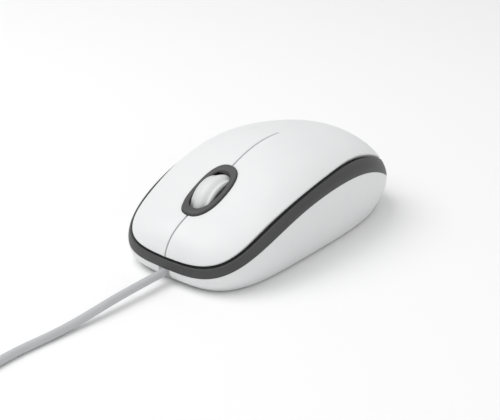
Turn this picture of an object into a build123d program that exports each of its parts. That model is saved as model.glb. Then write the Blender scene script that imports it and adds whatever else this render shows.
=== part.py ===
from build123d import *
import math
import os

import numpy as np

# A wired two-button computer mouse with a scroll wheel, a front-exit cable and a USB plug.
# Millimetres. +Z up, the cable leaves at -Y, the glide feet rest on z = 0.

os.makedirs("parts", exist_ok=True)

# ---- case shape ----
HALF_LENGTH = 56.5
HALF_WIDTH = 31.0
WIDEST_Y = -14.0            # where the plan outline is widest
NOSE_EXPONENT = 3.4         # squareness of the plan outline in front of WIDEST_Y
TAIL_EXPONENT = 3.3         # and behind it
BELT_HEIGHTS = [6.0, 9.5, 19.0, 25.0, 22.5, 12.0, 8.0]      # band's lower edge, nose to tail
DOME_RISES = [9.0, 9.5, 11.0, 13.0, 12.0, 14.0, 9.0]        # dome above the belt, nose to tail
BAND_WIDTHS = [3.2, 4.6, 6.8]                               # nose, middle, tail
CROWN_EXPONENTS = (2.1, 2.0)                                # dome's cross section, nose and tail
SIDE_INSET = 4.0            # how far the base edge lies inside the belt
SIDE_CURVE = 2.5            # how late the side turns in under the belt
DOME_CENTRE_Y = 20.0        # where the dome's rings close
BASE_Z = 0.8                # underside of the case, on its feet
FLOOR = 1.6
WALL = 2.0
TOP_WALL_SHRINK = 0.96      # inner skin's height over the outer skin's
TOP_WALL_DROP = 0.5
SHADOW_GAP = 0.8            # open line between the band and the top shells
RING_POINTS = 32

# ---- keys and palm cover ----
SLIT = 0.8                  # gap between the two keys
FLEX_Y = 7.0                # line where the keys bend from the palm cover
FLEX_Z = 33.0
FLEX_GAP = 0.2

# ---- wheel ----
WHEEL_Y = -27.8
WHEEL_Z = 19.4
WHEEL_RADIUS = 11.6
WHEEL_HALF_WIDTH = 3.6
TYRE_THICKNESS = 2.3
AXLE_RADIUS = 1.5
RUNNING = 0.05              # radial clearance of a running fit
BEZEL_Y = -32.0
BEZEL_HALF_LENGTH = 11.7
BEZEL_HALF_WIDTH = 6.9
BEZEL_EXPONENT = 2.45
BEZEL_INNER_HALF_LENGTH = 9.2
BEZEL_INNER_HALF_WIDTH = 5.2
BEZEL_RAISE = 0.9
BEZEL_DEPTH = 1.0
BEZEL_LEG_YS = (-48.4, -11.8)
BEZEL_LEG_HALVES = (2.4, 6.3)       # half the span of the front leg and of the rear pair
BEZEL_CLEARANCE = 0.45

# ---- circuit board ----
BOARD_Z = 5.0
BOARD_THICKNESS = 1.6
BOARD_TOP = BOARD_Z + BOARD_THICKNESS
BOARD_FRONT = -46.8
BOARD_REAR = 22.0
BOARD_HALF_WIDTH = 20.0
SWITCH_X = 15.0
SWITCH_Y = -38.0
SWITCH_SIZE = (5.8, 12.8, 6.5)
PLUNGER_Y = -41.0
PLUNGER_RISE = 0.85
KEY_GAP = 0.05              # rest gap between a key's rib and its plunger
PIVOT_Y = -14.6             # cradle hinge
PIVOT_Z = 12.0
PIVOT_RADIUS = 1.0
SENSOR_Y = 8.0
BOARD_SCREWS = [(x, y) for x in (-16.0, 16.0) for y in (-28.4, 16.0)]
SCREW_Y = 38.5

# ---- cable ----
CABLE_RADIUS = 1.5
CABLE_EXIT = (0.0, -56.4, 4.4)
CABLE_ROUTE = [
    CABLE_EXIT,
    (0.0, -76.0, 4.4),
    (-0.8, -101.0, 1.5),
    (-2.8, -122.0, 1.5),
    (-1.0, -140.0, 1.5),
    (-4.0, -155.0, 2.0),
]
COIL_TURNS_ACROSS = 4
COIL_TURNS_HIGH = 4
COIL_MEAN_RADIUS = 16.5
COIL_BASE = 0.8
COIL_CENTRE = (-25.0, -166.5)
TAIL_ROUTE = [
    (-36.5, -187.5, 11.3),
    (-43.5, -187.1, 9.8),
    (-51.5, -182.5, 7.0),
    (-56.0, -175.0, 4.7),
    (-57.0, -166.5, 4.2),
]
PLUG_X = -57.0
PLUG_Z = 4.2
PLUG_YS = (-166.5, -156.5, -129.5, -117.5)      # relief, grip, shell, mouth


def along(y):
    """The station angle of a place along the case, 0 at the nose and pi at the tail."""
    return math.acos(max(-1.0, min(1.0, -y / HALF_LENGTH)))


def level_curve(values, y):
    """A smooth line through values at equal station angles, tips included."""
    k = np.arange(len(values))
    waves = np.cos(np.outer(k, k) * math.pi / (len(values) - 1))
    return float(np.cos(k * along(y)) @ np.linalg.solve(waves, values))


def rise_curve(values, y):
    """A smooth line through values at equal station angles, zero at both tips."""
    k = np.arange(1, len(values) + 1)
    waves = np.sin(np.outer(k, k) * math.pi / (len(values) + 1))
    return float(np.sin(k * along(y)) @ np.linalg.solve(waves, values))


def half_width(y):
    """Half the case's width at its belt: two superellipse ends."""
    reach = HALF_LENGTH + WIDEST_Y if y < WIDEST_Y else HALF_LENGTH - WIDEST_Y
    exponent = NOSE_EXPONENT if y < WIDEST_Y else TAIL_EXPONENT
    share = min(1.0, abs(y - WIDEST_Y) / reach)
    return HALF_WIDTH * (1 - share**exponent) ** (1 / exponent)


def belt(y):
    return level_curve(BELT_HEIGHTS, y)


def band_top(y):
    return belt(y) + level_curve(BAND_WIDTHS, y)


def dome(x, y):
    """Height of the top skin over a point inside the belt."""
    tail = (y / HALF_LENGTH + 1) / 2
    exponent = CROWN_EXPONENTS[0] * (1 - tail) + CROWN_EXPONENTS[1] * tail
    share = min(1.0, abs(x) / max(half_width(y), 1e-6))
    return belt(y) + rise_curve(DOME_RISES, y) * (1 - share**2) ** (1 / exponent)


def belt_points(count):
    """Points at equal spacing round the belt, from the +X side by way of the nose."""
    angles = np.linspace(0, math.pi, 400)
    half = [(half_width(-HALF_LENGTH * math.cos(a)), -HALF_LENGTH * math.cos(a)) for a in angles]
    loop = half[200::-1] + [(-x, y) for x, y in half[1:]] + half[-2:199:-1]
    xs = np.array([p[0] for p in loop])
    ys = np.array([p[1] for p in loop])
    run = np.concatenate([[0], np.cumsum(np.hypot(np.diff(xs), np.diff(ys)))])
    stops = np.linspace(0, run[-1], count + 1)[:-1]
    return list(zip(np.interp(stops, run, xs), np.interp(stops, run, ys)))


def pebble(shrink_x=1.0, shrink_y=1.0, shrink_z=1.0, drop=0.0):
    """The case's outer form as one solid, or a smaller copy for its inner skin."""
    points = belt_points(RING_POINTS)
    normals = []
    for i, (x, y) in enumerate(points):
        ahead = points[(i + 1) % RING_POINTS]
        behind = points[i - 1]
        run = math.hypot(ahead[0] - behind[0], ahead[1] - behind[1])
        normals.append(((behind[1] - ahead[1]) / run, (ahead[0] - behind[0]) / run))
    rings = []
    for step in (1.0, 0.8, 0.6, 0.4, 0.2, 0.0):
        inset = SIDE_INSET * step**SIDE_CURVE
        ring = []
        for (x, y), (nx, ny) in zip(points, normals):
            z = belt(y) * (1 - step) + BASE_Z * step
            ring.append((x - inset * nx, y - inset * ny, z))
        rings.append(ring)
    for degrees in (14, 28, 42, 56, 68, 79):
        scale = math.cos(math.radians(degrees))
        ring = []
        for x, y in points:
            inner_y = DOME_CENTRE_Y + (y - DOME_CENTRE_Y) * scale
            ring.append((x * scale, inner_y, dome(x * scale, inner_y)))
        rings.append(ring)
    sections = []
    for ring in rings:
        placed = [Vector(x * shrink_x, y * shrink_y, z * shrink_z - drop) for x, y, z in ring]
        sections.append(Wire([Edge.make_spline(placed, periodic=True)]))
    peak = dome(0, DOME_CENTRE_Y) * shrink_z - drop
    sections.append(Vertex(0, DOME_CENTRE_Y * shrink_y, peak))
    return Solid.make_loft(sections)


def slab(lower, upper):
    """Everything between two side-view curves, right across the case."""
    edge = HALF_LENGTH + 6
    stations = [-edge] + list(np.linspace(-HALF_LENGTH, HALF_LENGTH, 21)) + [edge]
    low = [Vector(-40, y, lower(y)) for y in stations]
    high = [Vector(-40, y, upper(y)) for y in reversed(stations)]
    outline = Wire([
        Edge.make_spline(low),
        Edge.make_line(low[-1], high[0]),
        Edge.make_spline(high),
        Edge.make_line(high[-1], low[0]),
    ])
    return Solid.extrude(Face(outline), Vector(80, 0, 0))


def block(x0, x1, y0, y1, z0, z1):
    return Pos((x0 + x1) / 2, (y0 + y1) / 2, (z0 + z1) / 2) * Box(x1 - x0, y1 - y0, z1 - z0)


def rod(x, y, z0, z1, radius):
    """An upright round bar."""
    return Pos(x, y, (z0 + z1) / 2) * Cylinder(radius, z1 - z0)


def cross_rod(x0, x1, y, z, radius):
    """A round bar across the case."""
    return Pos((x0 + x1) / 2, y, z) * Rot(0, 90, 0) * Cylinder(radius, x1 - x0)


def long_rod(x, y0, y1, z, radius):
    """A round bar along the case."""
    return Pos(x, (y0 + y1) / 2, z) * Rot(90, 0, 0) * Cylinder(radius, y1 - y0)


def wheel_opening(half_length, half_width, z0, z1):
    """An upright prism with the wheel opening's rounded outline."""
    points = []
    for i in range(24):
        angle = 2 * math.pi * i / 24
        across = abs(math.cos(angle)) ** (2 / BEZEL_EXPONENT)
        ahead = abs(math.sin(angle)) ** (2 / BEZEL_EXPONENT)
        x = math.copysign(half_width * across, math.cos(angle))
        y = math.copysign(half_length * ahead, math.sin(angle))
        points.append(Vector(x, BEZEL_Y + y, z0))
    outline = Wire([Edge.make_spline(points, periodic=True)])
    return Solid.extrude(Face(outline), Vector(0, 0, z1 - z0))


def path_tube(points, radius):
    """A round tube of straight runs joined by tangent arcs, as large as the runs allow."""
    knots = [Vector(*p) for p in points]
    radii = []
    for before, here, after in zip(knots, knots[1:], knots[2:]):
        turn = math.radians((here - before).get_angle(after - here))
        shorter = min((here - before).length, (after - here).length)
        radii.append(0.45 * shorter / math.tan(turn / 2))
    path = FilletPolyline(*knots, radius=radii)
    start = path @ 0
    section = Plane(origin=start, z_dir=path % 0) * Circle(radius)
    tube = sweep(section, path=path)
    return tube, path, radii


parts = {}

# ---- case shells ----
outer = pebble()
shrink_x = (HALF_WIDTH - WALL) / HALF_WIDTH
shrink_y = (HALF_LENGTH - WALL) / HALF_LENGTH
inner_form = pebble(shrink_x, shrink_y, TOP_WALL_SHRINK, TOP_WALL_DROP)
inner = inner_form & block(-40, 40, -60, 60, BASE_Z + FLOOR, 60)
shell = outer - inner


def below_belt():
    return slab(lambda y: -10.0, belt)


def wall_between(lower, upper):
    return shell & slab(lower, upper)


# ---- bottom shell: tray with its floor, bosses and openings ----
def make_bottom_shell():
    tray = shell & below_belt()
    for x, y in BOARD_SCREWS:
        tray += rod(x, y, BASE_Z + FLOOR - 0.2, BOARD_Z, 2.6)
        tray -= rod(x, y, BASE_Z + FLOOR + 0.4, BOARD_Z + 1, 0.9)
    tray += rod(0, SCREW_Y, BASE_Z + 0.5, 7.9, 4.2)
    tray -= rod(0, SCREW_Y, 0, 3.4, 3.0)
    tray -= rod(0, SCREW_Y, 3, 9, 1.7)
    for y, half in zip(BEZEL_LEG_YS, BEZEL_LEG_HALVES):
        tray += block(-half - 1.4, half + 1.4, y - 2.2, y + 2.2, BASE_Z + FLOOR - 0.2, 3.8)
        tray -= block(-half - 0.1, half + 0.1, y - 0.9, y + 0.9, BASE_Z + FLOOR, 6)
    tray -= block(-5.5, 5.5, SENSOR_Y - 7.5, SENSOR_Y + 7.5, 0, 3)
    for y in (-43.5, 46.0):
        tray -= block(-13, 13, y - 2.6, y + 2.6, 0, FOOT_TOP)
    tray -= block(-16, 16, 19, 33, 0, BASE_Z + LABEL_RECESS)
    tray -= block(-2.6, 2.6, -60, -52, BASE_Z + FLOOR, 8)
    return tray


FOOT_TOP = BASE_Z + 0.4
LABEL_RECESS = 0.15

parts["bottom_shell"] = make_bottom_shell()


# ---- trim band: dark ring between the shells, with a tongue behind the shadow gap ----
def make_trim_band():
    band = wall_between(belt, band_top)
    tongue_skin = pebble(shrink_x - 0.05, shrink_y - 0.03, TOP_WALL_SHRINK - 0.03, TOP_WALL_DROP)
    tongue = (inner_form - tongue_skin) & slab(lambda y: band_top(y) - 1.2, lambda y: band_top(y) + 0.1)
    return band + tongue


parts["trim_band"] = make_trim_band()


# ---- palm cover and keys ----
top_skin = wall_between(lambda y: band_top(y) + SHADOW_GAP, lambda y: 60.0)
bezel_hole = wheel_opening(BEZEL_HALF_LENGTH + BEZEL_CLEARANCE, BEZEL_HALF_WIDTH + BEZEL_CLEARANCE, 10, 45)


def make_palm_cover():
    cover = top_skin & block(-40, 40, FLEX_Y + FLEX_GAP / 2, 60, 0, 60)
    post = rod(0, SCREW_Y, 8.0, 45, 3.2) & outer
    return cover + post - rod(0, SCREW_Y, 6, 20, 1.45)


def make_key(side):
    edges = sorted((side * SLIT / 2, side * 40))
    key = top_skin & block(*edges, -60, FLEX_Y - FLEX_GAP / 2, 0, 60)
    key -= bezel_hole
    rib_top = dome(SWITCH_X, PLUNGER_Y) - 0.8
    rib_base = BOARD_TOP + SWITCH_SIZE[2] + PLUNGER_RISE + KEY_GAP
    centre = side * SWITCH_X
    rib = block(centre - 1.4, centre + 1.4, PLUNGER_Y - 0.9, PLUNGER_Y + 0.9, rib_base, rib_top)
    return key + rib


parts["palm_cover"] = make_palm_cover()
parts["left_button"] = make_key(1)
parts["right_button"] = make_key(-1)


# ---- wheel bezel: raised ring round the wheel, on three legs that stand in the tray ----
ARM_TOP_DROP = 3.0          # the arms run under the keys, clear of their travel
ARM_THICKNESS = 1.4


def dome_layer(form, top_drop, bottom_drop):
    """The part of a form that lies between two depths under the top skin."""
    return (Pos(0, 0, -top_drop) * outer & form) - Pos(0, 0, -bottom_drop) * outer


def bezel_support(footprint, leg_y, x0, x1, tip):
    """A knee under the ring, an arm under the key and a leg down to the floor."""
    side = 1 if leg_y > BEZEL_Y else -1
    knee = footprint & block(x0, x1, *sorted((tip - side * 1.8, tip + side * 0.9)), 10, 45)
    arm = block(x0, x1, *sorted((leg_y + side * 0.8, tip - side * 1.8)), 10, 45)
    leg = block(x0, x1, leg_y - 0.8, leg_y + 0.8, BASE_Z + FLOOR, 45)
    support = dome_layer(knee, BEZEL_DEPTH, ARM_TOP_DROP + ARM_THICKNESS)
    support += dome_layer(arm, ARM_TOP_DROP, ARM_TOP_DROP + ARM_THICKNESS)
    return support + (Pos(0, 0, -ARM_TOP_DROP) * outer & leg)


def bezel_footprint():
    inner = wheel_opening(BEZEL_INNER_HALF_LENGTH, BEZEL_INNER_HALF_WIDTH, 14, 46)
    return wheel_opening(BEZEL_HALF_LENGTH, BEZEL_HALF_WIDTH, 15, 45) - inner


def make_wheel_bezel():
    return dome_layer(bezel_footprint(), -BEZEL_RAISE, BEZEL_DEPTH)


def make_bezel_legs():
    footprint = bezel_footprint()
    front_half, rear_half = BEZEL_LEG_HALVES
    front_y, rear_y = BEZEL_LEG_YS
    front_tip = BEZEL_Y - BEZEL_HALF_LENGTH
    rear_tip = BEZEL_Y + 8.6
    legs = [bezel_support(footprint, front_y, -front_half, front_half, front_tip)]
    for side in (-1, 1):
        span = sorted((side * rear_half, side * (WHEEL_HALF_WIDTH + 0.9)))
        legs.append(bezel_support(footprint, rear_y, *span, rear_tip))
    return Compound(children=legs)


parts["bezel_legs"] = make_bezel_legs()
parts["wheel_bezel"] = make_wheel_bezel()


# ---- scroll wheel: tyre, hub with axle, cradle, encoder ----
HUB_RADIUS = WHEEL_RADIUS - TYRE_THICKNESS


def make_wheel_tyre():
    half = WHEEL_HALF_WIDTH
    profile = Wire([
        Edge.make_line((half, 0, HUB_RADIUS), (-half, 0, HUB_RADIUS)),
        Edge.make_line((-half, 0, HUB_RADIUS), (-half, 0, WHEEL_RADIUS - 1.2)),
        Edge.make_three_point_arc(
            Vector(-half, 0, WHEEL_RADIUS - 1.2),
            Vector(0, 0, WHEEL_RADIUS),
            Vector(half, 0, WHEEL_RADIUS - 1.2),
        ),
        Edge.make_line((half, 0, WHEEL_RADIUS - 1.2), (half, 0, HUB_RADIUS)),
    ])
    tyre = revolve(Face(profile), axis=Axis.X, revolution_arc=360)
    return Pos(0, WHEEL_Y, WHEEL_Z) * tyre


def make_wheel_hub():
    hub = cross_rod(-3.4, 3.4, WHEEL_Y, WHEEL_Z, HUB_RADIUS)
    for side in (-1, 1):
        faces = sorted((side * 1.0, side * 4.0))
        hub -= cross_rod(*faces, WHEEL_Y, WHEEL_Z, HUB_RADIUS - 1.3)
    hub += cross_rod(-3.4, 3.4, WHEEL_Y, WHEEL_Z, 3.0)
    return hub + cross_rod(-6.2, 9.7, WHEEL_Y, WHEEL_Z, AXLE_RADIUS)


CRADLE_FRONT = -41.6


def make_wheel_cradle():
    cradle = cross_rod(-9.0, 9.0, PIVOT_Y, PIVOT_Z, PIVOT_RADIUS)
    for side in (-1, 1):
        arm = sorted((side * 4.4, side * 5.8))
        cradle += block(*arm, CRADLE_FRONT, PIVOT_Y + 1.6, 10.5, 13.5)
        cradle += block(*arm, WHEEL_Y - 3.0, WHEEL_Y + 3.0, 13.0, WHEEL_Z + 2.6)
        cradle -= cross_rod(*sorted((side * 4.0, side * 6.5)), WHEEL_Y, WHEEL_Z, AXLE_RADIUS + RUNNING)
    return cradle + block(-5.8, 5.8, CRADLE_FRONT, CRADLE_FRONT + 1.4, 10.5, 13.5)


def make_cradle_mount():
    mount = []
    for side in (-1, 1):
        foot = sorted((side * 7.0, side * 9.2))
        post = block(*foot, PIVOT_Y - 2.0, PIVOT_Y + 2.0, BOARD_TOP, PIVOT_Z + 2.0)
        bore = sorted((side * 6.5, side * 9.5))
        mount.append(post - cross_rod(*bore, PIVOT_Y, PIVOT_Z, PIVOT_RADIUS + RUNNING))
    return Compound(children=mount)


ENCODER_HALF = 3.2
ROTOR_RADIUS = 2.5


def make_encoder_housing():
    housing = block(5.8, 10.6, WHEEL_Y - ENCODER_HALF, WHEEL_Y + ENCODER_HALF,
                    WHEEL_Z - 5.0, WHEEL_Z + ENCODER_HALF)
    housing -= cross_rod(7.0, 9.9, WHEEL_Y, WHEEL_Z, ROTOR_RADIUS + 0.2)
    return housing - cross_rod(5.5, 7.5, WHEEL_Y, WHEEL_Z, AXLE_RADIUS + RUNNING)


def make_encoder_rotor():
    rotor = cross_rod(7.2, 9.7, WHEEL_Y, WHEEL_Z, ROTOR_RADIUS)
    return rotor - cross_rod(7.0, 9.9, WHEEL_Y, WHEEL_Z, AXLE_RADIUS)


parts["wheel_tyre"] = make_wheel_tyre()
parts["wheel_hub"] = make_wheel_hub()
parts["wheel_cradle"] = make_wheel_cradle()
parts["cradle_mount"] = make_cradle_mount()
parts["encoder_housing"] = make_encoder_housing()
parts["encoder_rotor"] = make_encoder_rotor()


# ---- circuit board and what is soldered to it ----
def make_circuit_board():
    width = 2 * BOARD_HALF_WIDTH
    length = BOARD_REAR - BOARD_FRONT
    outline = RectangleRounded(width, length, 4.0)
    board = extrude(outline, BOARD_THICKNESS)
    board = Pos(0, (BOARD_FRONT + BOARD_REAR) / 2, BOARD_Z) * board
    board -= block(-6.9, 6.9, BEZEL_LEG_YS[1] - 1.3, BEZEL_LEG_YS[1] + 1.3, 4, 8)
    board -= block(-4.0, 4.0, SENSOR_Y - 4, SENSOR_Y + 4, 4, 8)
    for x, y in BOARD_SCREWS:
        board -= rod(x, y, 4, 8, 1.2)
    return board


def make_key_switch(side):
    width, length, height = SWITCH_SIZE
    x = side * SWITCH_X
    body = block(x - width / 2, x + width / 2, SWITCH_Y - length / 2, SWITCH_Y + length / 2,
                 BOARD_TOP, BOARD_TOP + height)
    slot = block(x - 1.55, x + 1.55, PLUNGER_Y - 0.65, PLUNGER_Y + 0.65,
                 BOARD_TOP + height - 1.6, BOARD_TOP + height + 1)
    return body - slot


def make_key_plunger(side):
    x = side * SWITCH_X
    top = BOARD_TOP + SWITCH_SIZE[2] + PLUNGER_RISE
    return block(x - 1.5, x + 1.5, PLUNGER_Y - 0.6, PLUNGER_Y + 0.6, top - 1.8, top)


WHEEL_SWITCH_Y = -40.9
WHEEL_SWITCH_TOP = 9.6


def make_wheel_switch():
    body = block(-3, 3, WHEEL_SWITCH_Y - 2.9, WHEEL_SWITCH_Y + 2.9, BOARD_TOP, WHEEL_SWITCH_TOP)
    return body - rod(0, WHEEL_SWITCH_Y, WHEEL_SWITCH_TOP - 1.5, WHEEL_SWITCH_TOP + 1, 1.75)


def make_board_chips():
    chips = [
        block(9, 18, -12, -6, BOARD_TOP, BOARD_TOP + 1.6),
        block(-17, -12, -6, -2.8, BOARD_TOP, BOARD_TOP + 1.2),
        block(-17, -12, 1.0, 3.0, BOARD_TOP, BOARD_TOP + 0.9),
        block(11, 13, 1.0, 4.0, BOARD_TOP, BOARD_TOP + 0.8),
        block(15, 17, 1.0, 4.0, BOARD_TOP, BOARD_TOP + 0.8),
    ]
    return Compound(children=chips)


def make_capacitors():
    cans = [rod(x, y, BOARD_TOP, BOARD_TOP + 7.0, 2.5) for x, y in ((-14.0, -13.0), (14.0, 8.5))]
    return Compound(children=cans)


def make_board_screws():
    screws = []
    for x, y in BOARD_SCREWS:
        head = rod(x, y, BOARD_TOP, BOARD_TOP + 1.3, 1.8)
        shank = rod(x, y, BASE_Z + FLOOR + 0.5, BOARD_TOP + 0.1, 0.9)
        recess = block(x - 1.3, x + 1.3, y - 0.25, y + 0.25, BOARD_TOP + 0.8, BOARD_TOP + 2)
        screws.append(head + shank - recess)
    return Compound(children=screws)


def make_sensor_chip():
    chip = block(-5, 5, SENSOR_Y - 5.5, SENSOR_Y + 5.5, BOARD_TOP, BOARD_TOP + 3.4)
    return chip - rod(0, SENSOR_Y, BOARD_TOP - 1, BOARD_TOP + 0.6, 1.5)


def make_sensor_lens():
    plate = block(-8, 8, SENSOR_Y - 9.5, SENSOR_Y + 9.5, BASE_Z + FLOOR, BASE_Z + FLOOR + 1.2)
    snout = block(-5, 5, SENSOR_Y - 7, SENSOR_Y + 7, BASE_Z + 0.5, BASE_Z + FLOOR)
    lens = rod(0, SENSOR_Y, BASE_Z + FLOOR + 1, BOARD_Z + 1.2, 3.2)
    return plate + snout + lens


LED_Z = BOARD_TOP + 3.2
LED_Y = (16.4, 21.6)


def make_led():
    bulb = long_rod(0, *LED_Y, LED_Z, 2.3)
    return bulb + Pos(0, LED_Y[0], LED_Z) * Sphere(2.3)


def make_led_clip():
    clip = block(-4.6, 4.6, LED_Y[0] + 0.4, LED_Y[1] - 0.4, BOARD_TOP, LED_Z + 3.6)
    return clip - long_rod(0, 0, 30, LED_Z, 2.3 + RUNNING)


parts["circuit_board"] = make_circuit_board()
parts["left_switch"] = make_key_switch(1)
parts["right_switch"] = make_key_switch(-1)
parts["left_plunger"] = make_key_plunger(1)
parts["right_plunger"] = make_key_plunger(-1)
parts["wheel_switch"] = make_wheel_switch()
parts["wheel_plunger"] = rod(0, WHEEL_SWITCH_Y, WHEEL_SWITCH_TOP - 0.9, WHEEL_SWITCH_TOP + 0.85, 1.7)
parts["board_chips"] = make_board_chips()
parts["capacitors"] = make_capacitors()
parts["board_screws"] = make_board_screws()
parts["sensor_chip"] = make_sensor_chip()
parts["sensor_lens"] = make_sensor_lens()
parts["sensor_led"] = make_led()
parts["led_clip"] = make_led_clip()


# ---- underside: feet, blank label, case screw ----
def make_foot(y):
    slab_foot = extrude(RectangleRounded(25.6, 4.8, 2.2), FOOT_TOP)
    return Pos(0, y, 0) * slab_foot


def make_case_screw():
    head = rod(0, SCREW_Y, 1.4, 3.4, 2.8)
    cross = block(-1.9, 1.9, SCREW_Y - 0.4, SCREW_Y + 0.4, 1, 2.3)
    cross += block(-0.4, 0.4, SCREW_Y - 1.9, SCREW_Y + 1.9, 1, 2.3)
    return head - cross + rod(0, SCREW_Y, 3.3, 17, 1.4)


parts["front_foot"] = make_foot(-43.5)
parts["rear_foot"] = make_foot(46.0)
parts["base_label"] = block(-15.8, 15.8, 19.2, 32.8, BASE_Z + 0.05, BASE_Z + LABEL_RECESS)
parts["case_screw"] = make_case_screw()


# ---- cable: grommet, board plug and socket, inner leads ----
LEAD_IN_END = -50.7


def make_grommet():
    collar = block(-2.5, 2.5, -60, -52.4, BASE_Z + FLOOR, 5.9) & outer
    clamp = block(-4.0, 4.0, -52.5, LEAD_IN_END, BASE_Z + FLOOR, 6.6)
    bore = long_rod(0, -60, -45, CABLE_EXIT[2], CABLE_RADIUS)
    return collar + clamp - bore


SOCKET_TOP = BOARD_TOP + 5.0
LEAD_RADIUS = 0.28


def make_inner_leads():
    leads = []
    for i in range(4):
        start_x = (i - 1.5) * 0.65
        side_x = -11.5 + 1.3 * i
        end_x = -16.4 + 1.6 * i
        level = 4.5 + 0.65 * i
        lead, _, _ = path_tube([
            (start_x, LEAD_IN_END, CABLE_EXIT[2]),
            (start_x - 0.2, LEAD_IN_END + 0.7, level),
            (side_x + 2.0, LEAD_IN_END + 0.8, level + 0.3),
            (side_x, LEAD_IN_END + 3.0, level + 2.7),
            (side_x, -42.0, 8.8),
            (side_x - 0.1, -33.0, 8.4),
            (side_x - 0.4, -30.0, 8.8),
            (end_x, -25.8, 11.9),
            (end_x, -23.1, 12.4),
        ], LEAD_RADIUS)
        leads.append(lead)
    return Compound(children=leads)


parts["cable_grommet"] = make_grommet()
parts["cable_lead_in"] = long_rod(0, CABLE_EXIT[1], LEAD_IN_END, CABLE_EXIT[2], CABLE_RADIUS)
parts["board_socket"] = (
    block(-18.5, -9.5, -24.0, -19.4, BOARD_TOP, SOCKET_TOP)
    - block(-17.6, -10.4, -23.2, -20.2, BOARD_TOP + 1.5, SOCKET_TOP + 1)
)
parts["board_plug"] = block(-17.5, -10.5, -23.1, -20.3, BOARD_TOP + 1.6, SOCKET_TOP + 1.6)
parts["inner_leads"] = make_inner_leads()


# ---- free cable: tube, coil, tail, tie ----
COIL_OUTER = COIL_MEAN_RADIUS + CABLE_RADIUS * COIL_TURNS_ACROSS
COIL_INNER = COIL_MEAN_RADIUS - CABLE_RADIUS * COIL_TURNS_ACROSS
COIL_HEIGHT = 2 * CABLE_RADIUS * COIL_TURNS_HIGH

cable, cable_path, cable_radii = path_tube(CABLE_ROUTE, CABLE_RADIUS)
tail, tail_path, tail_radii = path_tube(TAIL_ROUTE, CABLE_RADIUS)
runs = (("cable", cable, cable_path, cable_radii), ("tail", tail, tail_path, tail_radii))
for name, tube, path, radii in runs:
    expected = path.length * math.pi * CABLE_RADIUS**2
    print(name, "length", round(path.length, 1), "volume ratio", round(tube.volume / expected, 3))
    print(name, "bend radii", [round(r, 1) for r in radii])


def make_cable_coil():
    coil = rod(*COIL_CENTRE, COIL_BASE, COIL_BASE + COIL_HEIGHT, COIL_OUTER)
    coil -= rod(*COIL_CENTRE, COIL_BASE - 1, COIL_BASE + COIL_HEIGHT + 1, COIL_INNER)
    return fillet(coil.edges().filter_by(GeomType.CIRCLE), 2.0)


def make_cable_tie():
    """A soft strap round the coil's section, on its far side."""
    x, y = COIL_CENTRE[0], COIL_CENTRE[1] - COIL_MEAN_RADIUS
    half = COIL_HEIGHT / 2 + 0.3
    middle = COIL_BASE + COIL_HEIGHT / 2
    strap = block(x - 2.5, x + 2.5, y - half - 0.8, y + half + 0.8, 0, middle + half + 0.5)
    return strap - block(x - 3, x + 3, y - half, y + half, COIL_BASE - 0.1, middle + half)


parts["cable"] = cable
parts["cable_coil"] = make_cable_coil()
parts["cable_tail"] = tail
parts["cable_tie"] = make_cable_tie()
coil_turns = COIL_TURNS_ACROSS * COIL_TURNS_HIGH * 2 * math.pi * COIL_MEAN_RADIUS
print("coil", round(coil_turns), "whole cable", round(coil_turns + cable_path.length + tail_path.length))


# ---- plug: strain relief, grip, metal shell, tongue and contacts ----
def make_plug_relief():
    thin = Plane(origin=(PLUG_X, PLUG_YS[0], PLUG_Z), z_dir=(0, 1, 0)) * Circle(2.0)
    thick = Plane(origin=(PLUG_X, PLUG_YS[1], PLUG_Z), z_dir=(0, 1, 0)) * Circle(2.9)
    return loft([thin, thick])


def make_plug_grip():
    grip = block(PLUG_X - 7.8, PLUG_X + 7.8, *PLUG_YS[1:3], 0, 2 * PLUG_Z)
    return fillet(grip.edges().filter_by(Axis.Y), 2.4)


def make_plug_shell():
    shell_tube = block(PLUG_X - 6, PLUG_X + 6, *PLUG_YS[2:4], PLUG_Z - 2.25, PLUG_Z + 2.25)
    return shell_tube - block(PLUG_X - 5.7, PLUG_X + 5.7, *PLUG_YS[2:4], PLUG_Z - 1.95, PLUG_Z + 1.95)


def make_plug_contacts():
    pads = []
    for offset in (-3.5, -1.0, 1.0, 3.5):
        x = PLUG_X + offset
        pads.append(block(x - 0.5, x + 0.5, PLUG_YS[2] + 3.0, PLUG_YS[3] - 1.4, PLUG_Z, PLUG_Z + 0.15))
    return Compound(children=pads)


parts["plug_relief"] = make_plug_relief()
parts["plug_grip"] = make_plug_grip()
parts["plug_shell"] = make_plug_shell()
parts["plug_tongue"] = block(PLUG_X - 5.6, PLUG_X + 5.6, PLUG_YS[2], PLUG_YS[3] - 0.4, PLUG_Z - 1.9, PLUG_Z)
parts["plug_contacts"] = make_plug_contacts()

for name, body in parts.items():
    export_step(body, f"parts/{name}.step")
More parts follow.
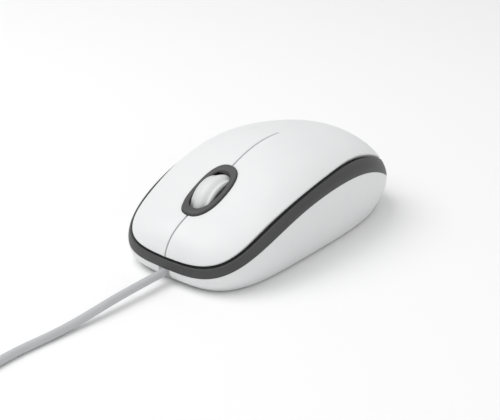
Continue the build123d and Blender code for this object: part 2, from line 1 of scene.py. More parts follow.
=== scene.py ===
import math
import bmesh
import bpy
import numpy as np
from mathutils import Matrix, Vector


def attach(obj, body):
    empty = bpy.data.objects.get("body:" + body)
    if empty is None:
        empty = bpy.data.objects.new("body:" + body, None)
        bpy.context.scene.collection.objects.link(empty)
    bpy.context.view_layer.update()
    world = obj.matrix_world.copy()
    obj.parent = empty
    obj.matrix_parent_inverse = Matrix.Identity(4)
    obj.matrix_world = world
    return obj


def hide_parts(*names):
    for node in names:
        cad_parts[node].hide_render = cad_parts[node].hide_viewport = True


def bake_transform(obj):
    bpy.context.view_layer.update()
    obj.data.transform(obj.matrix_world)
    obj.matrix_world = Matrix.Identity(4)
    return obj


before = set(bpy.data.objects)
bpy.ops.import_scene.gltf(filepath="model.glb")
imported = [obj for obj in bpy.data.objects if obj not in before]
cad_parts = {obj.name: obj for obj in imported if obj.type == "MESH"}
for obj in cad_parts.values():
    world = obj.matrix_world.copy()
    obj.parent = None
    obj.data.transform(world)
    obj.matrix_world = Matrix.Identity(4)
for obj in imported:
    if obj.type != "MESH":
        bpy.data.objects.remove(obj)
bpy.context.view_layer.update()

# ---- Camera ----
# The mouse is seen from above its front left, the cable end towards the lower left.
MM = 0.001
CAMERA_AZIMUTH = math.radians(39.68)
CAMERA_ELEVATION = math.radians(24.21)
CAMERA_DISTANCE = 0.437
AIM = Vector((0, 0, 0.015))

toward_camera = Vector((
    math.sin(CAMERA_AZIMUTH) * math.cos(CAMERA_ELEVATION),
    -math.cos(CAMERA_AZIMUTH) * math.cos(CAMERA_ELEVATION),
    math.sin(CAMERA_ELEVATION),
))
camera_data = bpy.data.cameras.new("camera")
camera_data.lens = 82.5
camera_data.shift_x = -0.0337
camera_data.shift_y = -0.0326
camera = bpy.data.objects.new("camera", camera_data)
camera.location = AIM + CAMERA_DISTANCE * toward_camera
camera.rotation_euler = toward_camera.to_track_quat("Z", "Y").to_euler()
bpy.context.collection.objects.link(camera)
bpy.context.scene.camera = camera


# ---- Cable ----
# Round PVC-jacketed lead, 3 mm thick and 1.8 m long. It comes straight out of the nose and drops to the
# desk. The length not in use is wound in a neat coil under a soft strap, with the plug lying beside it.
def linear(hex_colour):
    """A linear colour from an sRGB hex value."""
    channels = [int(hex_colour[i:i + 2], 16) / 255 for i in (0, 2, 4)]
    return [c / 12.92 if c <= 0.04045 else ((c + 0.055) / 1.055) ** 2.4 for c in channels] + [1.0]


def node(tree, kind, settings=(), links=()):
    """Adds a shader node, sets its inputs and properties by name, and links its inputs to other sockets."""
    made = tree.nodes.new(kind)
    for name, value in dict(settings).items():
        if name in made.inputs:
            made.inputs[name].default_value = value
        else:
            setattr(made, name, value)
    for name, source in dict(links).items():
        tree.links.new(source, made.inputs[name])
    return made


CABLE_RADIUS = 1.5 * MM
CABLE_ROUTE = [
    (0.0, -0.0564, 0.0044),
    (0.0, -0.0760, 0.0044),
    (-0.0008, -0.1010, 0.0015),
    (-0.0028, -0.1220, 0.0015),
    (-0.0010, -0.1400, 0.0015),
    (-0.0040, -0.1550, 0.0020),
]
TAIL_ROUTE = [
    (-0.0365, -0.1875, 0.0113),
    (-0.0435, -0.1871, 0.0098),
    (-0.0515, -0.1825, 0.0070),
    (-0.0560, -0.1750, 0.0047),
    (-0.0570, -0.1665, 0.0042),
]
COIL_CENTRE = (-0.0250, -0.1665)
COIL_TURNS_ACROSS = 4
COIL_LAYERS = 4
COIL_MEAN_RADIUS = 16.5 * MM
COIL_BASE = 0.8 * MM
POINTS_PER_TURN = 16


def coil_points():
    """The coil's turns: each layer winds in or out by one diameter a turn, then steps up onto itself."""
    pitch = 2 * CABLE_RADIUS
    outermost = COIL_MEAN_RADIUS + pitch * (COIL_TURNS_ACROSS - 1) / 2
    points = []
    total = COIL_TURNS_ACROSS * COIL_LAYERS * POINTS_PER_TURN
    first, last = 3, total + POINTS_PER_TURN // 4 - 1
    for step in range(first, last):
        turns = step / POINTS_PER_TURN
        layer = min(int(turns // COIL_TURNS_ACROSS), COIL_LAYERS - 1)
        along_layer = min(max(turns - layer * COIL_TURNS_ACROSS, 0), COIL_TURNS_ACROSS)
        wound = along_layer * (COIL_TURNS_ACROSS - 1) / COIL_TURNS_ACROSS
        if layer % 2:
            wound = COIL_TURNS_ACROSS - 1 - wound
        radius = outermost - pitch * wound
        rise = 0
        if layer < COIL_LAYERS - 1:
            rise = min(1.0, max(0.0, (along_layer - COIL_TURNS_ACROSS + 0.25) / 0.25))
        height = COIL_BASE + CABLE_RADIUS + pitch * (layer + rise)
        angle = -2 * math.pi * turns
        points.append((
            COIL_CENTRE[0] + radius * math.cos(angle),
            COIL_CENTRE[1] + radius * math.sin(angle),
            height,
        ))
    return points


def cable_curve(name, points, radius):
    """A round cord along one smooth spline that starts and ends at its end points."""
    curve = bpy.data.curves.new(name, "CURVE")
    curve.dimensions = "3D"
    spline = curve.splines.new("NURBS")
    spline.points.add(len(points) - 1)
    for control, place in zip(spline.points, points):
        control.co = (*place, 1)
    spline.order_u = 3
    spline.use_endpoint_u = True
    spline.resolution_u = 5
    curve.bevel_depth = radius
    curve.bevel_resolution = 6
    curve.use_fill_caps = True
    made = bpy.data.objects.new(name, curve)
    bpy.context.collection.objects.link(made)
    return made


def surface_finish(name, colour, roughness, grain=0.3 * MM, depth=0.01 * MM, gloss=0.4, metallic=0.0):
    """A moulded, rolled or plated surface: mottled tint, uneven roughness and a fine bump."""
    material = bpy.data.materials.new(name)
    material.use_nodes = True
    tree = material.node_tree
    shader = tree.nodes["Principled BSDF"]
    shader.inputs["Metallic"].default_value = metallic
    shader.inputs["Specular IOR Level"].default_value = gloss
    place = node(tree, "ShaderNodeTexCoord").outputs["Object"]
    flow = node(tree, "ShaderNodeTexNoise", {"Scale": 120.0, "Detail": 2.0}, {"Vector": place})
    tint = node(tree, "ShaderNodeMix", {"data_type": "RGBA"}, {"Factor": flow.outputs["Fac"]})
    tint.inputs[6].default_value = linear(colour[0])
    tint.inputs[7].default_value = linear(colour[1])
    tree.links.new(tint.outputs[2], shader.inputs["Base Color"])
    fine = node(tree, "ShaderNodeTexNoise", {
        "Scale": 1 / grain, "Detail": 3.0, "Roughness": 0.6,
    }, {"Vector": place})
    uneven = node(tree, "ShaderNodeMapRange", {
        "From Min": 0.3, "From Max": 0.7, "To Min": roughness - 0.05, "To Max": roughness + 0.06,
    }, {"Value": fine.outputs["Fac"]})
    tree.links.new(uneven.outputs["Result"], shader.inputs["Roughness"])
    bumps = node(tree, "ShaderNodeBump", {
        "Strength": 0.35, "Distance": depth,
    }, {"Height": fine.outputs["Fac"]})
    tree.links.new(bumps.outputs["Normal"], shader.inputs["Normal"])
    return material


jacket = surface_finish("grey_pvc_jacket", ("B7B8BA", "C0C1C3"), 0.38)
cable = cable_curve("cable_lead", CABLE_ROUTE + coil_points() + TAIL_ROUTE, CABLE_RADIUS)
cable.data.materials.append(jacket)
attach(cable, "root")
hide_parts("cable", "cable_coil", "cable_tail")


def mesh_piece(name, vertices, faces, materials, sharp_angle=35):
    """A shaded mesh object at the origin, with its edges kept crisp past an angle."""
    mesh = bpy.data.meshes.new(name)
    mesh.from_pydata([tuple(v) for v in vertices], [], faces)
    mesh.validate()
    made = bpy.data.objects.new(name, mesh)
    bpy.context.collection.objects.link(made)
    finish_mesh(made, materials, sharp_angle)
    return made


def finish_mesh(piece, materials, sharp_angle=35):
    """Merges doubles, turns the faces outwards, smooths them and gives the piece its materials."""
    shape = bmesh.new()
    shape.from_mesh(piece.data)
    bmesh.ops.remove_doubles(shape, verts=shape.verts, dist=1e-6)
    bmesh.ops.recalc_face_normals(shape, faces=shape.faces)
    shape.to_mesh(piece.data)
    shape.free()
    piece.data.shade_smooth()
    piece.data.set_sharp_from_angle(angle=math.radians(sharp_angle))
    piece.data.materials.clear()
    for material in materials:
        piece.data.materials.append(material)


def closed_sweep(sections):
    """Vertices and faces of a closed tube-like skin through a ring of closed sections."""
    count, size = len(sections), len(sections[0])
    vertices = [p for section in sections for p in section]
    faces = []
    for i in range(count):
        for j in range(size):
            a, b = i * size + j, i * size + (j + 1) % size
            c, d = ((i + 1) % count) * size + (j + 1) % size, ((i + 1) % count) * size + j
            faces.append((a, b, c, d))
    return vertices, faces


def cut(piece, cutters):
    """Takes the cutters' forms out of a piece and clears them away."""
    for cutter in cutters:
        modifier = piece.modifiers.new("cut", "BOOLEAN")
        modifier.operation = "DIFFERENCE"
        modifier.solver = "EXACT"
        modifier.object = cutter
    solved = bpy.data.meshes.new_from_object(piece.evaluated_get(bpy.context.evaluated_depsgraph_get()))
    piece.modifiers.clear()
    piece.data = solved
    for cutter in cutters:
        bpy.data.objects.remove(cutter)


# ---- Case form ----
# Every outer moulding follows one smooth pebble form: a plan outline of two superellipse ends, a belt line
# that rises amidships, and a dome above the belt. These are the sizes of the mould.
HALF_LENGTH = 56.5 * MM
HALF_WIDTH = 31.0 * MM
WIDEST_Y = -14.0 * MM
NOSE_EXPONENT = 3.4
TAIL_EXPONENT = 3.3
BELT_HEIGHTS = np.array([6.0, 9.5, 19.0, 25.0, 22.5, 12.0, 8.0]) * MM
DOME_RISES = np.array([9.0, 9.5, 11.0, 13.0, 12.0, 14.0, 9.0]) * MM
BAND_WIDTHS = np.array([3.2, 4.6, 6.8]) * MM
CROWN_EXPONENTS = (2.1, 2.0)
SIDE_INSET = 4.0 * MM
SIDE_CURVE = 2.5
DOME_CENTRE_Y = 20.0 * MM
BASE_Z = 0.8 * MM
WALL = 1.8 * MM


def along(y):
    return np.arccos(np.clip(-y / HALF_LENGTH, -1, 1))


def level_curve(values, y):
    """A smooth line through values at equal station angles, tips included."""
    k = np.arange(len(values))
    waves = np.cos(np.outer(k, k) * math.pi / (len(values) - 1))
    return np.cos(np.multiply.outer(along(y), k)) @ np.linalg.solve(waves, values)


def rise_curve(values, y):
    """A smooth line through values at equal station angles, zero at both tips."""
    k = np.arange(1, len(values) + 1)
    waves = np.sin(np.outer(k, k) * math.pi / (len(values) + 1))
    return np.sin(np.multiply.outer(along(y), k)) @ np.linalg.solve(waves, values)


def half_width(y):
    nose = y < WIDEST_Y
    reach = np.where(nose, HALF_LENGTH + WIDEST_Y, HALF_LENGTH - WIDEST_Y)
    exponent = np.where(nose, NOSE_EXPONENT, TAIL_EXPONENT)
    share = np.minimum(1, np.abs(y - WIDEST_Y) / reach)
    return HALF_WIDTH * (1 - share**exponent) ** (1 / exponent)


def belt(y):
    return level_curve(BELT_HEIGHTS, y)


def dome(x, y):
    """Height of the top skin over a point inside the belt."""
    tail = (y / HALF_LENGTH + 1) / 2
    exponent = CROWN_EXPONENTS[0] * (1 - tail) + CROWN_EXPONENTS[1] * tail
    share = np.minimum(1, np.abs(x) / np.maximum(half_width(y), 1e-7))
    return belt(y) + np.maximum(rise_curve(DOME_RISES, y), 0) * (1 - share**2) ** (1 / exponent)


def dome_normal(x, y):
    """The outward direction of the top skin over a point."""
    step = 0.02 * MM
    inside = 1 - 1e-4
    x, y = x * inside, DOME_CENTRE_Y + (y - DOME_CENTRE_Y) * inside
    slope_x = (dome(x + step, y) - dome(x - step, y)) / (2 * step)
    slope_y = (dome(x, y + step) - dome(x, y - step)) / (2 * step)
    normal = np.stack([-slope_x, -slope_y, np.ones_like(slope_x)], -1)
    return normal / np.linalg.norm(normal, axis=-1, keepdims=True)


def belt_outline(count):
    """Equally spaced points round the belt and their outward directions, from +X by way of the nose."""
    angles = np.linspace(0, math.pi, 4001)
    y = -HALF_LENGTH * np.cos(angles)
    x = half_width(y)
    xs = np.concatenate([x[2000::-1], -x[1:], x[-2:1999:-1]])
    ys = np.concatenate([y[2000::-1], y[1:], y[-2:1999:-1]])
    run = np.concatenate([[0], np.cumsum(np.hypot(np.diff(xs), np.diff(ys)))])
    stops = np.linspace(0, run[-1], count + 1)[:-1]
    plan = np.stack([np.interp(stops, run, xs), np.interp(stops, run, ys)], -1)
    ahead = np.roll(plan, -1, 0) - np.roll(plan, 1, 0)
    outward = np.stack([-ahead[:, 1], ahead[:, 0]], -1)
    outward *= np.sign(np.sum(outward * plan, -1))[:, None]
    return plan, outward / np.linalg.norm(outward, axis=-1, keepdims=True)


PLAN, OUTWARD = belt_outline(360)


def skin_above(share, rise, start=PLAN):
    """Plan points inwards from start where the skin is share of the band plus rise above the belt."""
    low = np.zeros(len(start))
    high = np.ones(len(start))
    centre = np.array([0, DOME_CENTRE_Y])
    for _ in range(40):
        middle = (low + high) / 2
        point = start + (centre - start) * middle[:, None]
        above = dome(point[:, 0], point[:, 1]) - belt(point[:, 1])
        short = above < share * level_curve(BAND_WIDTHS, point[:, 1]) + rise
        low = np.where(short, middle, low)
        high = np.where(short, high, middle)
    return start + (centre - start) * ((low + high) / 2)[:, None]


def wall_ring(share, rise, depth):
    """A ring of points that far above the belt and that deep inside the skin."""
    point = skin_above(share, rise)
    height = dome(point[:, 0], point[:, 1])
    normal = dome_normal(point[:, 0], point[:, 1])
    flat = np.concatenate([OUTWARD, np.zeros((len(PLAN), 1))], -1)
    near_belt = (np.linalg.norm(point - PLAN, axis=-1) < 0.02 * MM)[:, None]
    normal = np.where(near_belt, flat, normal)
    return np.concatenate([point, height[:, None]], -1) - depth * normal


def side_ring(step, depth):
    """A ring on the lower shell's side, step 0 at the belt and 1 at the base edge."""
    step = np.broadcast_to(step, len(PLAN))
    inset = SIDE_INSET * step**SIDE_CURVE + depth
    plan = PLAN - inset[:, None] * OUTWARD
    height = belt(PLAN[:, 1]) * (1 - step) + BASE_Z * step
    return np.concatenate([plan, height[:, None]], -1)


# ---- Lower shell ----
# White ABS tray, injection moulded with a fine satin texture. It carries the board, the feet and the case
# screw, and its rim is hidden behind the trim band.
white_abs = surface_finish("satin_white_abs", ("E1E2E3", "E5E6E6"), 0.42, 0.35 * MM, 0.012 * MM)

steps = [0.0, 0.004, 0.012] + list(np.linspace(0.03, 0.96, 34)) + [0.975, 0.99, 1.0]
EDGE_ROUND = 0.5 * MM
belt_heights = belt(PLAN[:, 1])
edge_step = (belt_heights - BASE_Z - EDGE_ROUND) / (belt_heights - BASE_Z)
outside = [side_ring(step * edge_step, 0) for step in steps]
for turn in np.linspace(0, math.pi / 2, 6)[1:]:
    ring = side_ring(edge_step, EDGE_ROUND * (1 - math.cos(turn)))
    ring[:, 2] = BASE_Z + EDGE_ROUND * (1 - math.sin(turn))
    outside.append(ring)
rim_in = side_ring(0.0, 0.25 * MM)
inside_steps = np.linspace(0.0, 0.72, 14)
inside = [side_ring(step, WALL) for step in inside_steps]
FLOOR_Z = 2.4 * MM
floor_ring = inside[-1].copy()
floor_ring[:, 2] = FLOOR_Z
rings = outside[::-1] + [rim_in] + inside + [floor_ring]
size = len(PLAN)
vertices = [p for ring in rings for p in ring]
faces = []
for i in range(len(rings) - 1):
    for j in range(size):
        k = (j + 1) % size
        faces.append((i * size + j, i * size + k, (i + 1) * size + k, (i + 1) * size + j))
faces.append(tuple(range(size)))
faces.append(tuple(range((len(rings) - 1) * size, len(rings) * size))[::-1])
lower_shell = mesh_piece("lower_shell", vertices, faces, [white_abs])


def rounded_outline(length_x, length_y, radius, segments=6):
    """A rounded rectangle's corner arcs, anticlockwise round its centre."""
    points = []
    for cx, cy, start in ((1, 1, 0), (-1, 1, 90), (-1, -1, 180), (1, -1, 270)):
        for step in range(segments + 1):
            angle = math.radians(start + 90 * step / segments)
            points.append((
                cx * (length_x / 2 - radius) + radius * math.cos(angle),
                cy * (length_y / 2 - radius) + radius * math.sin(angle),
            ))
    return points


def upright_prism(name, outline, centre, low, high, materials=(), edge=0.0):
    """A straight-sided form over an outline, its two rims rounded off by edge."""
    sections = []
    centre = np.array(centre)
    points = np.array(outline)
    shrink = [1 - math.sin(turn) for turn in np.linspace(0, math.pi / 2, 4)] if edge else []
    insets = [edge * (1 - math.sqrt(max(0, 1 - (1 - up)**2))) for up in shrink]
    levels = [(low + edge * up, inset) for up, inset in zip(shrink[::-1], insets[::-1])]
    levels += [(high - edge * up, inset) for up, inset in zip(shrink, insets)]
    levels = levels or [(low, 0), (high, 0)]
    ahead = np.roll(points, -1, 0) - np.roll(points, 1, 0)
    outward = np.stack([ahead[:, 1], -ahead[:, 0]], -1)
    outward /= np.linalg.norm(outward, axis=-1, keepdims=True)
    for height, inset in levels:
        plan = points + centre - inset * outward
        sections.append([(x, y, height) for x, y in plan])
    count = len(points)
    vertices = [p for section in sections for p in section]
    faces = [tuple(range(count))[::-1], tuple(range((len(sections) - 1) * count, len(sections) * count))]
    for i in range(len(sections) - 1):
        for j in range(count):
            k = (j + 1) % count
            faces.append((i * count + j, i * count + k, (i + 1) * count + k, (i + 1) * count + j))
    return mesh_piece(name, vertices, faces, materials)


FOOT_YS = (-43.5 * MM, 46.0 * MM)
LABEL_SIZE = (32 * MM, 14 * MM)
LABEL_Y = 26 * MM
SENSOR_Y = 8 * MM
SCREW_Y = 38.5 * MM
foot_recess = rounded_outline(26 * MM, 5.2 * MM, 2.3 * MM)
cutters = [upright_prism("foot_recess", foot_recess, (0, y), -MM, 1.2 * MM) for y in FOOT_YS]
for name, outline, y, low, high in (
    ("label_recess", rounded_outline(*LABEL_SIZE, 1.2 * MM), LABEL_Y, -MM, 0.95 * MM),
    ("sensor_window", rounded_outline(11 * MM, 15 * MM, 2 * MM), SENSOR_Y, -MM, 3 * MM),
    ("screw_well", rounded_outline(6 * MM, 6 * MM, 2.99 * MM, 10), SCREW_Y, -MM, 3.4 * MM),
    ("cable_notch", rounded_outline(5.2 * MM, 10 * MM, 0.5 * MM), -57.5 * MM, 2.4 * MM, 9 * MM),
):
    cutters.append(upright_prism(name, outline, (0, y), low, high))
cut(lower_shell, cutters)
finish_mesh(lower_shell, [white_abs])
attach(lower_shell, "root")
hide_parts("bottom_shell")


# ---- Trim band ----
# Dark grey ABS ring clipped between the shells. Its face continues the pebble form, and behind it a tongue
# stands up under the top shells, which leaves the dark open line along its upper edge.
dark_abs = surface_finish("dark_grey_abs", ("424243", "474748"), 0.46, 0.35 * MM, 0.012 * MM)
BAND_ROUND = 0.3 * MM
profile = [(0.0, 0.02 * MM, WALL), (0.0, 0.02 * MM, 0.12 * MM), (0.0, 0.10 * MM, 0.0)]
profile += [(share, 0.0, 0.0) for share in np.linspace(0.08, 0.88, 9)]
for turn in np.linspace(0, math.pi / 2, 5):
    profile.append((1.0, BAND_ROUND * (math.sin(turn) - 1), BAND_ROUND * (1 - math.cos(turn))))
TONGUE_RISE = 1.6 * MM
TONGUE_BACK = 3.0 * MM
profile += [(1.0, 0.0, 2.1 * MM), (1.0, TONGUE_RISE, 2.4 * MM)]
profile += [(1.0, TONGUE_RISE, TONGUE_BACK), (1.0, -1.0 * MM, TONGUE_BACK)]
rings = [wall_ring(*place) for place in profile]
sections = [[ring[i] for ring in rings] for i in range(len(PLAN))]
trim_band = mesh_piece("trim_band_ring", *closed_sweep(sections), [dark_abs], 40)
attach(trim_band, "root")
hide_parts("trim_band")


# ---- Top shells: palm cover and the two keys ----
# One white ABS moulding on the real mouse, slit down the middle, its keys bending from the palm cover along a
# thin line just behind the slit's end. Here keys and palm cover are separate pieces that meet on that line,
# so their skins run on without a visible joint.
SHADOW_GAP = 0.8 * MM
SLIT = 0.55 * MM
FLEX_Y = 7.0 * MM
TOP_WALL = 1.6 * MM
RIM_ROUND = 0.5 * MM
SLIT_ROUND = 0.28 * MM


def rim_between(start, end, count):
    """Points along the top shells' rim between two of its places, given as fractions of the way round."""
    places = np.linspace(start, end, count) * len(PLAN)
    low = np.floor(places).astype(int)
    part = (places - low)[:, None]
    plan = PLAN[low % len(PLAN)] * (1 - part) + PLAN[(low + 1) % len(PLAN)] * part
    return skin_above(1.0, SHADOW_GAP, plan)


def rim_place(condition_x=None, condition_y=None, start=0.0, end=1.0):
    """The fraction of the way round the rim, between two others, where x or y has a value."""
    for _ in range(50):
        middle = (start + end) / 2
        point = rim_between(middle, middle, 1)[0]
        first = rim_between(start, start, 1)[0]
        axis, goal = (0, condition_x) if condition_x is not None else (1, condition_y)
        same_side = (point[axis] - goal) * (first[axis] - goal) > 0
        start, end = (middle, end) if same_side else (start, middle)
    return (start + end) / 2


def filled_patch(front, rear, left, right):
    """A grid of plan points stretched between four edges that meet at its corners."""
    u = np.linspace(0, 1, len(left))[:, None, None]
    v = np.linspace(0, 1, len(front))[None, :, None]
    sides = (1 - v) * left[:, None] + v * right[:, None] + (1 - u) * front[None] + u * rear[None]
    corners = (
        (1 - u) * (1 - v) * front[0] + (1 - u) * v * front[-1] + u * (1 - v) * rear[0] + u * v * rear[-1]
    )
    return sides - corners


def shell_patch(name, plan, rounds, materials, flush_y=None):
    """A moulded wall under a plan grid: top skin, rounded edges, side walls and inner skin.

    rounds gives the edge radius on the front, right, rear and left of the grid."""
    rows, columns = plan.shape[:2]
    loop = [(0, j) for j in range(columns - 1)] + [(i, columns - 1) for i in range(rows - 1)]
    loop += [(rows - 1, j) for j in range(columns - 1, 0, -1)] + [(i, 0) for i in range(rows - 1, 0, -1)]
    radius = np.zeros((rows, columns))
    radius[0, :] = np.maximum(radius[0, :], rounds[0])
    radius[:, -1] = np.maximum(radius[:, -1], rounds[1])
    radius[-1, :] = np.maximum(radius[-1, :], rounds[2])
    radius[:, 0] = np.maximum(radius[:, 0], rounds[3])
    edge = np.array([plan[i, j] for i, j in loop])
    reach = np.array([radius[i, j] for i, j in loop])[:, None]
    ahead = np.roll(edge, -1, 0) - np.roll(edge, 1, 0)
    middle = plan[rows // 2, columns // 2]
    away = np.stack([ahead[:, 1], -ahead[:, 0]], -1)
    away /= np.linalg.norm(away, axis=-1, keepdims=True)
    area = np.sum(edge[:, 0] * np.roll(edge[:, 1], -1) - edge[:, 1] * np.roll(edge[:, 0], -1))
    away *= np.sign(area)
    if flush_y is not None:
        on_line = np.abs(edge[:, 1] - flush_y) < 1e-6
        away[on_line, 1] = 0
        away[on_line, 0] = np.sign(edge[on_line, 0] - middle[0])
        inner_part = on_line & (np.array([j not in (0, columns - 1) for i, j in loop]))
        reach[inner_part] = 0
    normal = dome_normal(edge[:, 0], edge[:, 1])
    across = np.concatenate([away, np.zeros((len(edge), 1))], -1)
    across -= normal * np.sum(across * normal, -1, keepdims=True)
    across /= np.maximum(np.linalg.norm(across, axis=-1, keepdims=True), 1e-9)
    seat = edge - reach * across[:, :2]
    grid = plan.copy()
    for (i, j), place in zip(loop, seat):
        grid[i, j] = place
    grid = filled_patch(grid[0], grid[-1], grid[:, 0], grid[:, -1])
    top = np.concatenate([grid, dome(grid[..., 0], grid[..., 1])[..., None]], -1)
    under = top - TOP_WALL * dome_normal(grid[..., 0], grid[..., 1])
    vertices = [tuple(p) for p in top.reshape(-1, 3)] + [tuple(p) for p in under.reshape(-1, 3)]
    faces = []
    for i in range(rows - 1):
        for j in range(columns - 1):
            a = i * columns + j
            faces.append((a, a + 1, a + columns + 1, a + columns))
            b = rows * columns + a
            faces.append((b, b + columns, b + columns + 1, b + 1))
    seat3 = np.array([top[i, j] for i, j in loop])
    loops = [[i * columns + j for i, j in loop]]
    for turn in list(np.linspace(0, math.pi / 2, 6)[1:]) + [None]:
        if turn is None:
            ring = seat3 + reach * across - TOP_WALL * normal
        else:
            ring = seat3 + reach * (math.sin(turn) * across - (1 - math.cos(turn)) * normal)
        start = len(vertices)
        vertices += [tuple(p) for p in ring]
        loops.append(list(range(start, start + len(ring))))
    loops.append([rows * columns + i * columns + j for i, j in loop])
    for outer_loop, inner_loop in zip(loops, loops[1:]):
        for k in range(len(loop)):
            m = (k + 1) % len(loop)
            faces.append((outer_loop[k], inner_loop[k], inner_loop[m], outer_loop[m]))
    made = mesh_piece(name, vertices, faces, materials)
    return made


BEZEL_Y = -32.0 * MM
BEZEL_HALF_LENGTH = 11.7 * MM
BEZEL_HALF_WIDTH = 6.9 * MM
BEZEL_EXPONENT = 2.45


def wheel_outline(half_length, half_width, count=96):
    """The wheel opening's rounded plan outline."""
    angles = np.linspace(0, 2 * math.pi, count, endpoint=False)
    x = half_width * np.sign(np.cos(angles)) * np.abs(np.cos(angles)) ** (2 / BEZEL_EXPONENT)
    y = half_length * np.sign(np.sin(angles)) * np.abs(np.sin(angles)) ** (2 / BEZEL_EXPONENT)
    dense = np.stack([np.append(x, x[0]), np.append(y, y[0])], -1)
    run = np.concatenate([[0], np.cumsum(np.linalg.norm(np.diff(dense, axis=0), axis=-1))])
    stops = np.linspace(0, run[-1], count, endpoint=False)
    return [(np.interp(t, run, dense[:, 0]), np.interp(t, run, dense[:, 1])) for t in stops]


def make_key(name, side):
    nose = rim_place(condition_x=SLIT / 2, start=0.10, end=0.30)
    corner = 0.16
    flex = rim_place(condition_y=FLEX_Y, start=0.12, end=-0.08)
    rows, columns = 120, 56
    front = rim_between(nose, corner, columns)
    outer_side = rim_between(corner, flex, rows)
    inner_side = np.stack([np.full(rows, SLIT / 2), np.linspace(front[0][1], FLEX_Y, rows)], -1)
    rear = np.stack([np.linspace(SLIT / 2, outer_side[-1][0], columns), np.full(columns, FLEX_Y)], -1)
    front[0] = inner_side[0]
    outer_side[-1] = rear[-1]
    plan = filled_patch(front, rear, inner_side, outer_side)
    plan[..., 0] *= side
    rounds = (RIM_ROUND, RIM_ROUND, 0.0, SLIT_ROUND)
    key = shell_patch(name, plan, rounds, [white_abs], FLEX_Y)
    hole = wheel_outline(BEZEL_HALF_LENGTH + 0.25 * MM, BEZEL_HALF_WIDTH + 0.25 * MM)
    cut(key, [upright_prism("wheel_hole", hole, (0, BEZEL_Y), 10 * MM, 45 * MM)])
    finish_mesh(key, [white_abs])
    return key


def make_palm_cover():
    flex_right = rim_place(condition_y=FLEX_Y, start=0.12, end=-0.08)
    rows, columns = 90, 110
    corner_right = 0.88
    front = np.stack([np.linspace(0, 0, columns), np.full(columns, FLEX_Y)], -1)
    right = rim_between(flex_right + 1.0, corner_right, rows)
    left = right * [-1, 1]
    front[:, 0] = np.linspace(left[0][0], right[0][0], columns)
    rear = rim_between(corner_right, 1.5 - corner_right, columns)[::-1]
    plan = filled_patch(front, rear, left, right)
    return shell_patch("palm_shell", plan, (0.0, RIM_ROUND, RIM_ROUND, RIM_ROUND), [white_abs], FLEX_Y)


palm = make_palm_cover()
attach(palm, "root")
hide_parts("palm_cover")
for name, side, node_name, body in (
    ("left_key_shell", 1, "left_button", "left_key"),
    ("right_key_shell", -1, "right_button", "right_key"),
):
    key = make_key(name, side)
    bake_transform(key)
    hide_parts(node_name)


# ---- Wheel bezel ----
# Dark ABS ring that stands a little proud of the keys round the wheel, held by three legs that stand in
# the tray. Its rims are softly rounded.
BEZEL_RIM = 2.4 * MM
INNER_HALF_LENGTH = 8.8 * MM
INNER_HALF_WIDTH = 4.95 * MM
WHEEL_Y = -27.8 * MM
WHEEL_Z = 19.4 * MM
WHEEL_RADIUS = 12.0 * MM
WHEEL_HALF_WIDTH = 4.0 * MM
WHEEL_CLEARANCE = 0.3 * MM
BEZEL_RAISE = 0.9 * MM
BEZEL_DEPTH = 1.0 * MM
outer_line = np.array(wheel_outline(BEZEL_HALF_LENGTH, BEZEL_HALF_WIDTH, 160))
BEZEL_ROUND = 0.45 * MM
INNER_ROUND = 0.4 * MM
INNER_DROP = 0.08 * MM
bezel_profile = [(0.0, -BEZEL_DEPTH), (0.0, BEZEL_RAISE - BEZEL_ROUND)]
for turn in np.linspace(0, math.pi / 2, 6)[1:]:
    bezel_profile.append((
        BEZEL_ROUND * (1 - math.cos(turn)), BEZEL_RAISE - BEZEL_ROUND * (1 - math.sin(turn)),
    ))
bezel_profile += [(0.9 * MM, BEZEL_RAISE + 0.02 * MM), (1.5 * MM, BEZEL_RAISE - 0.03 * MM)]
for turn in np.linspace(0, math.pi / 2, 6):
    bezel_profile.append((
        BEZEL_RIM - INNER_ROUND * (1 - math.sin(turn)),
        BEZEL_RAISE - INNER_DROP - INNER_ROUND * (1 - math.cos(turn)),
    ))
bezel_profile.append((BEZEL_RIM, -BEZEL_DEPTH))
sections = []
for x, y in outer_line:
    section = []
    for inset, lift in bezel_profile:
        inwards = inset / BEZEL_RIM
        px = x * (1 - inwards * (1 - INNER_HALF_WIDTH / BEZEL_HALF_WIDTH))
        py = BEZEL_Y + y * (1 - inwards * (1 - INNER_HALF_LENGTH / BEZEL_HALF_LENGTH))
        skin = float(dome(np.array(px), np.array(py)))
        height = skin + lift
        if inwards == 1 and lift == -BEZEL_DEPTH and abs(px) < WHEEL_HALF_WIDTH + WHEEL_CLEARANCE:
            reach = (WHEEL_RADIUS + WHEEL_CLEARANCE)**2 - (py - WHEEL_Y)**2
            height = min(max(height, WHEEL_Z + math.sqrt(max(reach, 0))), skin + BEZEL_RAISE / 3)
        section.append((px, py, height))
    sections.append(section)
bezel = mesh_piece("bezel_ring", *closed_sweep(sections), [dark_abs], 40)
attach(bezel, "root")
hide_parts("wheel_bezel")


# ---- Scroll wheel ----
# Pale silicone tyre pressed on a plastic hub. Its smooth tread is crowned, dips to a shallow valley near
# each side and ends in a thin rounded bead.
def turned(name, profile, centre, axis, materials, count=96):
    """A form turned about an axis through centre. The profile gives places along the axis and radii."""
    sections = []
    for angle in np.linspace(0, 2 * math.pi, count, endpoint=False):
        section = []
        for step, radius in profile:
            first, second = radius * math.cos(angle), radius * math.sin(angle)
            offset = [first, second]
            offset.insert("XYZ".index(axis), step)
            section.append(tuple(c + o for c, o in zip(centre, offset)))
        sections.append(section)
    return mesh_piece(name, *closed_sweep(sections), materials)


